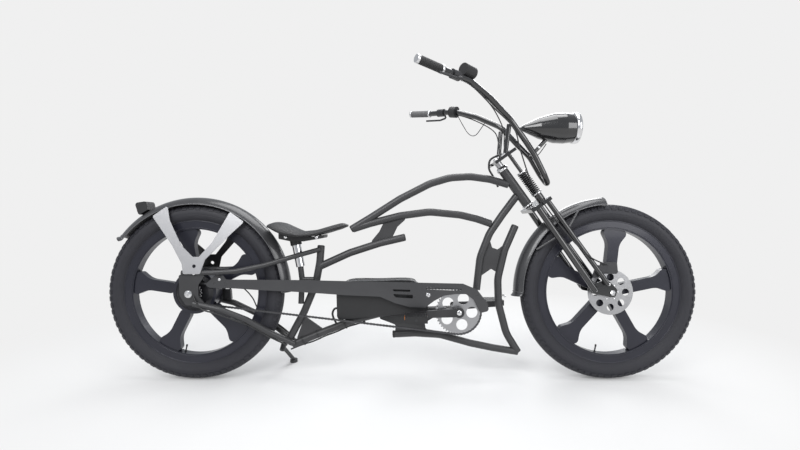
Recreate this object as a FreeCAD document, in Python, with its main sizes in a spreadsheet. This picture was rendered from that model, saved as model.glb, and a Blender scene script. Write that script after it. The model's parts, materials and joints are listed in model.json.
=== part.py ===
import FreeCAD, Part
import math
import os
from FreeCAD import Placement, Rotation, Vector

# Electric cruiser bicycle, in millimetres, leaning on its side stand.
# Every piece is drawn on the upright machine: x forward, y to its left, z up from the ground.
# LEAN then tips the whole machine over to its left until the stand's foot is on the floor.

SIZES = {
    "RearAxleX": -817, "FrontAxleX": 836, "TyreRadius": 350, "TyreSection": 36,
    "RimRadius": 284, "RimDepth": 31, "RimWidth": 40, "HubWidth": 60, "FrontHubRadius": 34,
    "MotorRadius": 75, "MotorWidth": 84, "AxleRadius": 6, "AxleLength": 200, "AxleNut": 4,
    "RotorRadius": 90, "RotorThick": 2, "FenderGap": 28, "FenderWidth": 86, "FenderSkin": 2,
    "FrameTube": 30, "RunnerTube": 28, "StayTube": 19, "ChainStayTube": 24, "SeatTube": 23,
    "HeadTube": 39, "SteererRadius": 14, "SteererGap": 0.06, "HeadLength": 169,
    "RearLegTube": 26, "FrontLegTube": 20, "LegSpread": 64, "SpringRadius": 21,
    "BarTube": 23, "RiserTube": 18, "GripTube": 31, "LampRadius": 61.5,
    "ShellRadius": 22, "ShellWidth": 68, "SpindleRadius": 8.5, "BearingGap": 0.06,
    "CrankLength": 170, "ChainLine": 52, "ChainHeight": 9, "ChainWidth": 8,
    "RingRadius": 83.4, "CogRadius": 33, "ChainGap": 1, "GuardLine": 62, "GuardThick": 2,
    "PedalLength": 90, "PedalWidth": 84, "PedalHeight": 22, "SaddleWidth": 250,
    "BatteryWidth": 76, "LeanAngle": 7, "StandReach": 150, "StandTube": 16, "WebThick": 6,
}

doc = FreeCAD.newDocument("Bicycle")
sheet = doc.addObject("Spreadsheet::Sheet", "Sizes")
for row, (alias, value) in enumerate(SIZES.items(), 1):
    sheet.set("A%d" % row, alias)
    sheet.set("B%d" % row, str(value))
    sheet.setAlias("B%d" % row, alias)
doc.recompute()


def size(alias):
    """The value that the sheet holds under an alias."""
    return float(sheet.get(alias))


REAR_AXLE = Vector(size("RearAxleX"), 0, size("TyreRadius"))
FRONT_AXLE = Vector(size("FrontAxleX"), 0, size("TyreRadius"))
CRANK_CENTRE = Vector(229.5, 0, 277)
HEAD_TOP = Vector(417, 0, 837)
HEAD_UP = Vector(-0.581, 0, 0.814).normalize()
HEAD_FORWARD = Vector(0.814, 0, 0.581).normalize()
GRIP_END = Vector(52, 367, 1155)
LEAN_TURN = Rotation(Vector(1, 0, 0), -size("LeanAngle"))

# The tyres are round in section, so leaning lowers the axles by less than a sharp edge would.
lean_rad = math.radians(size("LeanAngle"))
LEAN_RISE = size("TyreSection") * (1 - math.cos(lean_rad))
LEAN_SHIFT = Vector(-(REAR_AXLE.x + FRONT_AXLE.x) / 2,
                    -math.sin(lean_rad) * GRIP_END.z, LEAN_RISE)
LEAN = Placement(LEAN_SHIFT, LEAN_TURN)
Y_AXIS = Vector(0, 1, 0)
UPRIGHT = Placement()
subparts = []


def keep(feature, label):
    """Names a finished sub-part after its node and lists it for writing."""
    feature.Label = label
    subparts.append(feature)
    return feature


def steer_point(along, ahead, side=0):
    """A point given along the steering axis from the upper cup, ahead of it, and to the left."""
    return HEAD_TOP + HEAD_UP * along + HEAD_FORWARD * ahead + Y_AXIS * side


def round_corners(points, bend, closed=False):
    """Straight runs joined by tangent arcs of one radius, smaller where a run is short."""
    corners = [Vector(*point) for point in points]
    count = len(corners)
    edges = []
    first_end = corners[0]
    last_end = None
    indices = range(count) if closed else range(1, count - 1)
    for index in indices:
        corner = corners[index]
        toward = corners[index - 1] - corner
        away = corners[(index + 1) % count] - corner
        shortest = min(toward.Length, away.Length)
        toward.normalize()
        away.normalize()
        half = toward.getAngle(away) / 2
        if half > math.radians(89.6):
            continue
        reach = min(bend / math.tan(half), 0.47 * shortest)
        radius = reach * math.tan(half)
        inward = (toward + away).normalize()
        start = corner + toward * reach
        finish = corner + away * reach
        middle = corner + inward * (radius / math.sin(half) - radius)
        if closed and last_end is None:
            first_end = start
        else:
            edges.append(Part.LineSegment(last_end or corners[0], start))
        edges.append(Part.Arc(start, middle, finish))
        last_end = finish
    tail = first_end if closed else corners[-1]
    edges.append(Part.LineSegment(last_end or corners[0], tail))
    return edges


def rod(name, start, finish, alias, share=1.0):
    """A straight round bar between two points; its radius is a share of a sheet value."""
    start = Vector(*start)
    finish = Vector(*finish)
    bar = doc.addObject("Part::Cylinder", name)
    bar.setExpression("Radius", "Sizes.%s * %g" % (alias, share))
    bar.Height = (finish - start).Length
    turn = Rotation(Vector(0, 0, 1), finish - start)
    bar.Placement = LEAN.multiply(Placement(start, turn))
    return bar


def tube(name, points, alias, bend=60):
    """A bent round tube swept along straight runs and tangent arcs."""
    spine = doc.addObject("Part::Feature", name + "_path")
    spine.Shape = Part.Wire([edge.toShape() for edge in round_corners(points, bend)])
    spine.Placement = LEAN
    circle = doc.addObject("Part::Circle", name + "_section")
    circle.setExpression("Radius", "Sizes.%s / 2" % alias)
    heading = Vector(*points[1]) - Vector(*points[0])
    turn = Rotation(Vector(0, 0, 1), heading)
    circle.Placement = LEAN.multiply(Placement(Vector(*points[0]), turn))
    sweep = doc.addObject("Part::Sweep", name)
    sweep.Sections = [circle]
    sweep.Spine = (spine, ["Edge%d" % (i + 1) for i in range(len(spine.Shape.Edges))])
    sweep.Solid = True
    sweep.Frenet = False
    return sweep


def plane(body, role):
    """One of a body's own origin planes."""
    return next(item for item in body.Origin.OriginFeatures if item.Role == role)


def sketch_on(body, name, role, geometry, offset=0.0):
    """A sketch on one of the body's origin planes, moved along the plane's normal."""
    sketch = body.newObject("Sketcher::SketchObject", name)
    sketch.AttachmentSupport = [(plane(body, role), "")]
    sketch.MapMode = "FlatFace"
    sketch.AttachmentOffset = Placement(Vector(0, 0, offset), Rotation())
    sketch.addGeometry(geometry, False)
    return sketch


def outline(points, bend=0.0):
    """Closed outline geometry in a sketch, with its corners rounded where a bend is given."""
    flat = [(x, z, 0) for x, z in points]
    if bend:
        return round_corners(flat, bend, closed=True)
    ends = flat[1:] + flat[:1]
    return [Part.LineSegment(Vector(*a), Vector(*b)) for a, b in zip(flat, ends)]


def circle_at(x, z, radius):
    """A full circle in a sketch."""
    return Part.Circle(Vector(x, z, 0), Vector(0, 0, 1), radius)


def plate(name, geometry, alias, share=1.0, side=0.0, place=UPRIGHT):
    """A flat piece cut to an outline in the x-z plane, centred on a sideways position."""
    body = doc.addObject("PartDesign::Body", name)
    sketch = sketch_on(body, name + "_outline", "XZ_Plane", geometry, -side)
    pad = body.newObject("PartDesign::Pad", name + "_pad")
    pad.Profile = sketch
    pad.SideType = "Symmetric"
    pad.setExpression("Length", "Sizes.%s * %g" % (alias, share))
    body.Placement = LEAN.multiply(place)
    return body


def turned(name, geometry, place, role="YZ_Plane", axis="H_Axis", angle=360.0):
    """A piece turned from a half section about the sketch's own axis."""
    body = doc.addObject("PartDesign::Body", name)
    sketch = sketch_on(body, name + "_section", role, geometry)
    turn = body.newObject("PartDesign::Revolution", name + "_turn")
    turn.Profile = sketch
    turn.ReferenceAxis = (sketch, [axis])
    turn.Angle = angle
    body.Placement = LEAN.multiply(place)
    return body


def joined(name, pieces):
    """Pieces welded into one solid, or several like solids kept in one node."""
    fuse = doc.addObject("Part::MultiFuse", name)
    fuse.Shapes = pieces
    return fuse


def coped(name, base, others):
    """A piece with what it butts against cut away, so that the faces meet."""
    tool = others[0] if len(others) == 1 else joined(name + "_room", others)
    cut = doc.addObject("Part::Cut", name)
    cut.Base = base
    cut.Tool = tool
    return cut


def both_sides(make):
    """The right and left copies of a piece, from a function of the side's sign."""
    return [make(-1), make(1)]


# ---- Frame tubes, each coped against the tubes it is welded to ----
def make_frame():
    """The welded frame: head tube, curved tubes, keel, runner, mast, stays and plates."""
    half = size("FrameTube") / 2
    top_tube = tube("top_tube_run", [(-194, 0, 601), (-121, 0, 645), (0, 0, 722), (121, 0, 784),
                    (202, 0, 808), (283, 0, 813), (364, 0, 802), (438, 0, 780)], "FrameTube", 160)
    cruiser = tube("cruiser_run", [(-190, 0, 601), (-121, 0, 623), (0, 0, 654), (120, 0, 670),
                   (243, 0, 658), (310, 0, 642), (368, 0, 622)], "FrameTube", 160)
    front = tube("front_run", [(470, 0, 733), (413, 0, 657), (362, 0, 583), (324, 0, 487),
                 (309, 0, 356)], "FrameTube", 150)
    keel = tube("keel_run", [(465, 0, 612), (423, 0, 516), (395, 0, 400), (398, 0, 300),
                (429, 0, 180), (475, 0, 105)], "FrameTube", 150)
    runner = tube("runner_run", [(-26, 0, 176), (61, 0, 180), (162, 0, 174), (283, 0, 140),
                  (375, 0, 121), (475, 0, 105)], "RunnerTube", 150)
    lower = tube("lower_run", [(-433, 0, 135), (-303, 0, 188), (-182, 0, 234), (-81, 0, 260),
                 (16, 0, 269), (229, 0, 277)], "FrameTube", 150)
    mast = tube("mast_run", [(-449, 0, 152), (-388, 0, 265), (-340, 0, 380), (-324, 0, 467),
                (-319, 0, 531)], "FrameTube", 150)
    middle = tube("middle_run", [(-323, 0, 450), (-202, 0, 505), (-81, 0, 544), (18, 0, 567)],
                  "FrameTube", 150)
    head_bottom = steer_point(-size("HeadLength"), 0)
    outer = rod("head_outer", head_bottom, HEAD_TOP, "HeadTube", 0.5)
    bore = rod("head_bore", steer_point(-size("HeadLength") - 5, 0), steer_point(5, 0),
               "SteererRadius")
    bore.setExpression("Radius", "Sizes.SteererRadius + Sizes.SteererGap")
    head = keep(coped("head_tube", outer, [bore]), "head_tube")
    shell_half = size("ShellWidth") / 2
    shell_outer = rod("shell_outer", CRANK_CENTRE - Y_AXIS * shell_half,
                      CRANK_CENTRE + Y_AXIS * shell_half, "ShellRadius")
    shell_bore = rod("shell_bore", CRANK_CENTRE - Y_AXIS * shell_half * 1.1,
                     CRANK_CENTRE + Y_AXIS * shell_half * 1.1, "SpindleRadius")
    shell_bore.setExpression("Radius", "Sizes.SpindleRadius + Sizes.BearingGap")
    keep(coped("bottom_bracket", shell_outer, [shell_bore]), "bottom_bracket")
    top_tube = keep(coped("top_tube", top_tube, [outer]), "top_tube")
    front = keep(coped("front_tube", front, [outer]), "front_tube")
    cruiser = keep(coped("cruiser_tube", cruiser, [top_tube, front]), "cruiser_tube")
    keel = keep(coped("keel_tube", keel, [front]), "keel_tube")
    runner = keep(coped("runner_tube", runner, [keel]), "runner_tube")
    lower = keep(coped("lower_tube", lower, [shell_outer]), "lower_tube")
    mast = keep(coped("seat_mast", mast, [lower]), "seat_mast")
    middle = keep(coped("middle_tube", middle, [mast]), "middle_tube")
    seat_web = plate("seat_web_plate", outline([(-385, 250), (-300, 190), (-330, 180),
                     (-420, 150)], 8), "WebThick")
    middle_web = plate("middle_web_plate", outline([(-60, 640), (40, 655), (-10, 610), (-34, 560),
                       (-130, 535), (-84, 590)], 9), "WebThick")
    front_web = plate("front_web_plate", outline([(358, 575), (372, 526), (395, 518), (430, 545),
                      (400, 420), (368, 440), (345, 424), (312, 400), (322, 480)], 7), "WebThick")
    webs = [coped("seat_web", seat_web, [lower, mast]),
            coped("middle_web", middle_web, [middle, cruiser]),
            coped("front_web", front_web, [front, keel])]
    keep(joined("frame_webs", webs), "frame_webs")
    belly = plate("belly_blank", outline([(-101, 245), (-49, 226), (-18, 214), (-20, 180),
                  (190, 165), (330, 135), (300, 146), (170, 186), (104, 196), (100, 222),
                  (140, 246), (228, 262), (228, 277), (16, 268)], 10), "WebThick")
    shell_solid = rod("shell_solid", CRANK_CENTRE - Y_AXIS * shell_half,
                      CRANK_CENTRE + Y_AXIS * shell_half, "ShellRadius")
    keep(coped("belly_plate", belly, [lower, runner, shell_solid]), "belly_plate")
    return outer, lower, mast, middle, half


def make_rear(lower, mast):
    """Stays, dropouts, axle, fender, braces and the tail light."""
    drops = both_sides(lambda side: coped(
        "dropout_%d" % (side + 1),
        plate("dropout_blank_%d" % (side + 1), outline([(-856, 426), (-752, 426), (-780, 385),
              (-780, 343), (-750, 306), (-828, 306), (-852, 345)], 10), "WebThick", 1.0,
              side * 78),
        [rod("axle_slot_%d" % (side + 1), REAR_AXLE + Y_AXIS * side * 60,
             REAR_AXLE + Y_AXIS * side * 90, "AxleRadius")]))
    dropouts = keep(joined("dropouts", drops), "dropouts")
    half_axle = Y_AXIS * (size("AxleLength") / 2)
    core = rod("axle_core", REAR_AXLE - half_axle, REAR_AXLE + half_axle, "AxleRadius")
    face = 78 + size("WebThick") / 2
    nuts = both_sides(lambda side: rod(
        "axle_nut_%d" % (side + 1), REAR_AXLE + Y_AXIS * side * face,
        REAR_AXLE + Y_AXIS * side * (face + size("AxleNut")), "AxleRadius", 2.4))
    keep(joined("rear_axle", [core] + nuts), "rear_axle")
    upper = both_sides(lambda side: coped(
        "upper_stay_%d" % (side + 1),
        tube("upper_stay_run_%d" % (side + 1), [(-845, side * 78, 432), (-735, side * 77, 432),
             (-640, side * 70, 437), (-533, side * 59, 459), (-425, side * 46, 491),
             (-320, side * 14, 520)], "StayTube", 120), [dropouts, mast]))
    upper_stays = keep(joined("upper_stays", upper), "upper_stays")
    chain = both_sides(lambda side: coped(
        "chain_stay_%d" % (side + 1),
        tube("chain_stay_run_%d" % (side + 1), [(-800, side * 79, 313), (-700, side * 77, 290),
             (-600, side * 64, 247), (-511, side * 48, 192), (-425, side * 12, 140)],
             "ChainStayTube", 120), [dropouts, lower, mast]))
    chain_stays = keep(joined("chain_stays", chain), "chain_stays")
    fender = keep(make_fender("rear_fender", REAR_AXLE, 0, 143), "rear_fender")
    angle = 10.3
    braces = both_sides(lambda side: coped(
        "rear_brace_%d" % (side + 1),
        plate("rear_brace_blank_%d" % (side + 1), outline([(-180, 196), (-151, 159), (-92, 81),
              (-48, 8), (-40, -30), (25, -30), (40, 25), (120, 112), (182, 174), (124, 214),
              (63, 93), (16, 36), (-8, 36), (-56, 81), (-109, 178), (-124, 238)], 6)
              + [circle_at(0, 0, 7)], "WebThick", 0.5, 0,
              Placement(Vector(-794, side * 85, 458), Rotation(Vector(1, 0, 0), side * angle))),
        [fender, upper_stays]))
    keep(joined("rear_fender_braces", braces), "rear_fender_braces")
    light = plate("tail_light_block", outline([(-1056, 705), (-1010, 712), (-1002, 668),
                  (-1040, 655)], 10), "WebThick", 10)
    crown = size("TyreRadius") + size("FenderGap")
    room = plate("tail_light_room", [circle_at(0, 0, crown)], "WebThick", 12, 0,
                 Placement(REAR_AXLE, Rotation()))
    keep(coped("tail_light", light, [room]), "tail_light")
    return dropouts, upper_stays, chain_stays


def make_fender(name, axle, start, angle):
    """A curved skin turned about the wheel's axle; its section is a shallow arch."""
    crown = size("TyreRadius") + size("FenderGap")
    half = size("FenderWidth") / 2
    skin = size("FenderSkin")
    inner = half - skin
    edge = crown - 28
    section = [Part.Arc(Vector(-half, edge, 0), Vector(0, crown, 0), Vector(half, edge, 0)),
               Part.LineSegment(Vector(half, edge, 0), Vector(inner, edge, 0)),
               Part.Arc(Vector(inner, edge, 0), Vector(0, crown - skin, 0),
                        Vector(-inner, edge, 0)),
               Part.LineSegment(Vector(-inner, edge, 0), Vector(-half, edge, 0))]
    # The section starts straight up, so the piece is turned forward before it sweeps back.
    place = Placement(axle, Rotation(Y_AXIS, 90 - start - angle))
    return turned(name, section, place, angle=angle)


# ---- Wheels ----
def make_wheel(name, axle, hub_outer, hub_inner, first_spoke):
    """Tyre and five-spoke cast wheel, turned and padded about the axle."""
    rim = size("RimRadius")
    inside = rim - size("RimDepth")
    half_rim = size("RimWidth") / 2
    middle = size("TyreRadius") - size("TyreSection")
    half_bead = math.sqrt(size("TyreSection") ** 2 - (middle - rim) ** 2)
    place = Placement(axle, Rotation(Y_AXIS, 90 - first_spoke))
    arch = [Part.Arc(Vector(half_bead, rim, 0), Vector(0, size("TyreRadius"), 0),
                     Vector(-half_bead, rim, 0)),
            Part.LineSegment(Vector(-half_bead, rim, 0), Vector(half_bead, rim, 0))]
    keep(turned(name + "_tyre", arch, place), name + "_tyre")
    half_hub = size("HubWidth") / 2
    hub = outline([(-half_hub, hub_inner), (half_hub, hub_inner), (half_hub, hub_outer),
                   (-half_hub, hub_outer)])
    body = turned(name + "_wheel", hub, place)
    spoke = sketch_on(body, name + "_spoke", "XZ_Plane", outline(
        [(-22, hub_outer - 3), (22, hub_outer - 3), (22, inside - 60), (60, inside - 1),
         (-60, inside - 1), (-22, inside - 60)], 70))
    pad = body.newObject("PartDesign::Pad", name + "_spoke_pad")
    pad.Profile = spoke
    pad.SideType = "Symmetric"
    pad.Length = 30
    pattern = body.newObject("PartDesign::PolarPattern", name + "_spokes")
    pattern.Originals = [pad]
    pattern.Axis = (plane(body, "Y_Axis"), [""])
    pattern.Angle = 360
    pattern.Occurrences = 5
    body.Tip = pattern
    hoop = sketch_on(body, name + "_rim", "YZ_Plane", outline(
        [(-half_rim, inside - 3), (half_rim, inside - 3), (half_rim, rim), (-half_rim, rim)]))
    turn = body.newObject("PartDesign::Revolution", name + "_rim_turn")
    turn.Profile = hoop
    turn.ReferenceAxis = (hoop, ["H_Axis"])
    turn.Angle = 360
    body.Tip = turn
    keep(body, name + "_wheel")


def make_rotor(name, axle, side, hub_radius):
    """A brake disc on its carrier."""
    holes = [circle_at(60 * math.cos(k * math.pi / 4), 60 * math.sin(k * math.pi / 4), 14)
             for k in range(8)]
    disc = plate(name, [circle_at(0, 0, size("RotorRadius")), circle_at(0, 0, hub_radius)] + holes,
                 "RotorThick", 1.0, side, Placement(axle, Rotation()))
    return keep(disc, name)


def make_wheels():
    """Both wheels with their hub parts, sprocket and discs."""
    motor = size("MotorRadius")
    make_wheel("front", FRONT_AXLE, size("FrontHubRadius"), size("AxleRadius") - 0.94, 83.5)
    make_wheel("rear", REAR_AXLE, motor + 11, motor, 99.5)
    half = size("MotorWidth") / 2
    bore = size("AxleRadius") + size("BearingGap")
    profile = outline([(-58, bore), (60, bore), (60, 22), (half, 22), (half, 62), (30, motor),
                       (-30, motor), (-half, 62), (-half, 20), (-58, 20)])
    keep(turned("motor_hub", profile, Placement(REAR_AXLE, Rotation())), "motor_hub")
    cog = plate("rear_cog", [circle_at(0, 0, size("CogRadius")), circle_at(0, 0, 20)],
                "RotorThick", 1.5, -size("ChainLine"), Placement(REAR_AXLE, Rotation()))
    keep(cog, "rear_cog")
    make_rotor("front_rotor", FRONT_AXLE, -31, 20)
    make_rotor("rear_rotor", REAR_AXLE, 56, 22)


# ---- Crank, chain and guard ----
def chain_outline(grow):
    """An open belt line round both sprockets, a distance out from their seats."""
    rear = size("CogRadius") + grow
    ring = size("RingRadius") + grow
    along = Vector(CRANK_CENTRE.x - REAR_AXLE.x, CRANK_CENTRE.z - REAR_AXLE.z, 0)
    base = math.atan2(along.y, along.x)
    spread = math.acos((rear - ring) / along.Length)
    a = Vector(REAR_AXLE.x, REAR_AXLE.z, 0)
    b = Vector(CRANK_CENTRE.x, CRANK_CENTRE.z, 0)

    def rim(centre, radius, angle):
        return centre + Vector(math.cos(angle), math.sin(angle), 0) * radius

    up = base + spread
    down = base - spread
    return [Part.LineSegment(rim(a, rear, up), rim(b, ring, up)),
            Part.Arc(rim(b, ring, up), rim(b, ring, base), rim(b, ring, down)),
            Part.LineSegment(rim(b, ring, down), rim(a, rear, down)),
            Part.Arc(rim(a, rear, down), rim(a, rear, base + math.pi), rim(a, rear, up))]


def make_drive():
    """Chain loop, chainring, crank arms and pedals."""
    gap = size("ChainGap")
    belt = plate("chain", chain_outline(gap + size("ChainHeight")) + chain_outline(gap),
                 "ChainWidth", 1.0, -size("ChainLine"))
    keep(belt, "chain")
    holes = [circle_at(53 * math.cos(1.2 + k * 1.2566), 53 * math.sin(1.2 + k * 1.2566), 22)
             for k in range(5)]
    ring = plate("chainring", [circle_at(0, 0, size("RingRadius")), circle_at(0, 0, 20)] + holes,
                 "RotorThick", 2, -size("ChainLine"), Placement(CRANK_CENTRE, Rotation()))
    keep(ring, "chainring")
    spindle = rod("spindle", CRANK_CENTRE - Y_AXIS * 80, CRANK_CENTRE + Y_AXIS * 80,
                  "SpindleRadius")
    pieces = [spindle, rod("ring_boss", CRANK_CENTRE - Y_AXIS * 80, CRANK_CENTRE - Y_AXIS * 49,
                           "ShellRadius", 20 / size("ShellRadius"))]
    tilt = math.radians(3)
    reach = Vector(math.cos(tilt), 0, math.sin(tilt)) * size("CrankLength")
    pedals = []
    for side, name in ((-1, "right_pedal"), (1, "left_pedal")):
        centre = CRANK_CENTRE + reach * side
        turn = Rotation(Y_AXIS, -3 if side > 0 else 177)
        length = size("CrankLength")
        arm = plate(name + "_arm", outline([(-18, -17), (length + 13, -12), (length + 13, 12),
                    (-18, 17)], 10), "WebThick", 2, 0,
                    Placement(CRANK_CENTRE + Y_AXIS * (side * 74), turn))
        pin = rod(name + "_pin", centre + Y_AXIS * side * 70,
                  centre + Y_AXIS * side * (88 + size("PedalLength")), "AxleRadius", 0.8)
        pieces += [arm, pin]
        block = doc.addObject("Part::Box", name + "_block")
        block.setExpression("Length", "Sizes.PedalWidth")
        block.setExpression("Width", "Sizes.PedalLength")
        block.setExpression("Height", "Sizes.PedalHeight")
        near = 87 if side > 0 else -87 - size("PedalLength")
        block.Placement = LEAN.multiply(Placement(centre + Vector(
            -size("PedalWidth") / 2, near, -size("PedalHeight") / 2), Rotation()))
        hole = rod(name + "_hole", centre + Y_AXIS * side * 80, centre + Y_AXIS * side * 190,
                   "AxleRadius", 0.8)
        hole.setExpression("Radius", "Sizes.AxleRadius * 0.8 + Sizes.BearingGap")
        pedals.append(keep(coped(name, block, [hole]), name))
    keep(joined("crank_arms", pieces), "crank_arms")


def make_guard(stays, battery):
    """The flame-shaped guard plate with its two fixing studs."""
    line = size("GuardLine")
    edge = [(-762, 384), (-722, 420), (-690, 420), (-680, 404), (-391, 402), (0, 392), (246, 388),
            (301, 365), (342, 312), (348, 281), (313, 273), (289, 324), (258, 347), (215, 347),
            (172, 341), (133, 320), (98, 294), (39, 296), (-20, 312), (-78, 337), (-215, 343),
            (-391, 355), (-555, 363), (-645, 369), (-745, 372)]
    slots = [outline([(-30, 366), (40, 364), (40, 356), (-24, 358)], 3),
             outline([(-30, 348), (50, 344), (50, 330), (-16, 334)], 3),
             outline([(100, 366), (240, 360), (240, 368), (104, 374)], 3)]
    blank = plate("guard_blank", outline(edge, 12) + sum(slots, []), "GuardThick", 1.0, -line)
    face = line - size("GuardThick") / 2
    stud = coped("guard_rear_stud", rod("guard_rear_stud_run", (-706, -face, 414),
                 (-706, -82, 430), "AxleRadius", 0.8), [stays, blank])
    post = coped("guard_front_stud", rod("guard_front_stud_run", (72, -face, 345),
                 (72, -10, 345), "AxleRadius", 0.8), [battery])
    keep(joined("chain_guard", [blank, stud, post]), "chain_guard")


# ---- Seat, battery and stand ----
def make_seat(mast, lower, middle):
    """Seat tube, suspension post, saddle base and scooped pad."""
    seat = tube("seat_run", [(-400, 0, 300), (-396, 0, 398), (-403, 0, 455)], "SeatTube", 60)
    bridge = rod("seat_bridge", (-396, 0, 398), (-335, 0, 398), "SeatTube", 0.4)
    tube_piece = coped("seat_tube", joined("seat_tube_run", [seat, bridge]), [mast])
    keep(tube_piece, "seat_tube")
    post_run = rod("seat_post_run", (-402, 0, 450), (-421, 0, 545), "FrameTube", 0.6)
    post = keep(coped("seat_post", post_run, [tube_piece]), "seat_post")
    base = plate("saddle_base_blank", outline([(-480, 562), (-430, 552), (-380, 552),
                 (-300, 566), (-300, 588), (-356, 578), (-433, 582), (-480, 600)], 6),
                 "SaddleWidth", 0.35)
    lug = rod("saddle_lug", (-419, 0, 536), (-424, 0, 560), "FrameTube", 0.75)
    pad_side = plate("saddle_side", outline([(-515, 631), (-465, 627), (-433, 609), (-390, 590),
                     (-332, 597), (-243, 625), (-210, 619), (-226, 603), (-303, 578),
                     (-356, 569), (-433, 573), (-461, 582), (-496, 602)], 12), "SaddleWidth")
    plan = doc.addObject("PartDesign::Body", "saddle_plan")
    half = size("SaddleWidth") / 2
    plan_sketch = sketch_on(plan, "saddle_plan_outline", "XY_Plane", outline(
        [(-520, -half), (-440, -half), (-330, -52), (-205, -30), (-205, 30), (-330, 52),
         (-440, half), (-520, half)], 40), 540)
    plan_pad = plan.newObject("PartDesign::Pad", "saddle_plan_pad")
    plan_pad.Profile = plan_sketch
    plan_pad.Length = 120
    plan.Placement = LEAN
    pad = doc.addObject("Part::Common", "saddle_pad")
    pad.Base = pad_side
    pad.Tool = plan
    keep(pad, "saddle_pad")
    keep(coped("saddle_base", joined("saddle_base_run", [base, lug]), [post, pad]), "saddle_base")
    block = plate("battery_block", outline([(-249, 240), (-252, 345), (-206, 394), (45, 399),
                  (75, 380), (112, 330), (110, 275)], 16), "BatteryWidth")
    return keep(coped("battery", block, [lower, middle, mast]), "battery")


def make_stand(stays):
    """Side stand on a slanted pivot, and the bracket that carries it under the left stay."""
    pivot = Vector(-489, 62, 107)
    reach = size("StandReach")
    rise = (reach * math.sin(lean_rad) + 10 - LEAN_RISE) / math.cos(lean_rad)
    foot = Vector(-465, reach, rise)
    folded = Vector(-1, 0.05, 0.05).normalize()
    down = (foot - pivot).normalize()
    hinge = down.cross(folded).normalize()
    barrel = rod("stand_barrel", pivot - hinge * 15, pivot + hinge * 15, "StandTube", 0.7)
    leg = rod("stand_leg", pivot, foot, "StandTube", 0.5)
    pad = doc.addObject("Part::Cylinder", "stand_foot")
    pad.Radius = 16
    pad.Height = 12
    pad.Placement = Placement(LEAN.multVec(foot) * 1.0, Rotation())
    pad.Placement.Base = Vector(LEAN.multVec(foot).x, LEAN.multVec(foot).y, 0)
    hole = rod("stand_hole", pivot - hinge * 20, pivot + hinge * 20, "AxleRadius", 0.8)
    hole.setExpression("Radius", "Sizes.AxleRadius * 0.8 + Sizes.BearingGap")
    keep(coped("side_stand", joined("side_stand_run", [barrel, leg, pad]), [hole]), "side_stand")
    pin = rod("stand_pin", pivot - hinge * 18, pivot + hinge * 30, "AxleRadius", 0.8)
    arm = rod("stand_arm", pivot + hinge * 27, Vector(-492, 46, 183), "StandTube", 0.5)
    keep(coped("stand_bracket", joined("stand_bracket_run", [pin, arm]), [stays]),
         "stand_bracket")
    return pivot, hinge, math.degrees(math.acos(down.dot(folded)))


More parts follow.
